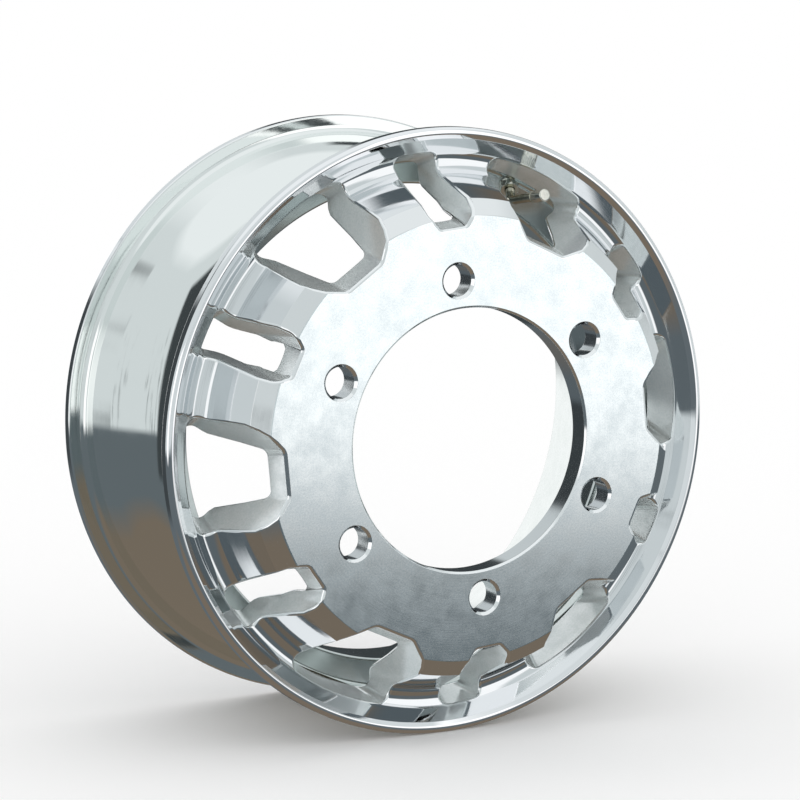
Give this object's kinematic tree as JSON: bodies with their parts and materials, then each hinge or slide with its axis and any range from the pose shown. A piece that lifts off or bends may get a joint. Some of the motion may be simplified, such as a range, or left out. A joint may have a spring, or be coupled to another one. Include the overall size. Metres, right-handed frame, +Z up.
{
  "type": "alloy wheel",
  "caption": "Forged alloy disc wheel with a taper-seat drop centre rim, round stud holes, wide and narrow hand windows and a bent tyre valve.",
  "frame": {"origin": "on the spin axis, in the plane of the hub mounting face", "axes": "+Z up, +Y along the spin axis from the show side to the brake side, +X to the right seen from the show side"},
  "size_m": [0.4698, 0.2332, 0.4698],
  "materials": {
    "polished_aluminium": "polished rim and disc, satin hub face",
    "nickel_plate": "bright nickel plate on brass",
    "brass": "turned brass",
    "grey_rubber": "moulded rubber",
    "red_seal": "smooth sealing plastic",
    "spring_steel": "drawn wire"
  },
  "bodies": {
    "wheel": {"wheel": "polished_aluminium", "valve_stem": "nickel_plate", "valve_grommet": "grey_rubber", "valve_washer": "nickel_plate", "valve_nut": "nickel_plate", "valve_cap": "nickel_plate", "cap_seal": "grey_rubber", "core_body": "brass", "core_seal": "red_seal", "core_spring": "spring_steel"},
    "pin": {"core_pin": "brass", "core_cup": "grey_rubber"}
  },
  "joints": [
    {"name": "core_pin_travel", "type": "slide", "parent": "wheel", "child": "pin", "axis": [-0.0724, 0.9848, -0.1578], "range_m": [0, 0.0016], "stiffness_N_per_m": 400, "springref_m": -0.002, "deforming": ["core_spring"]}
  ]
}
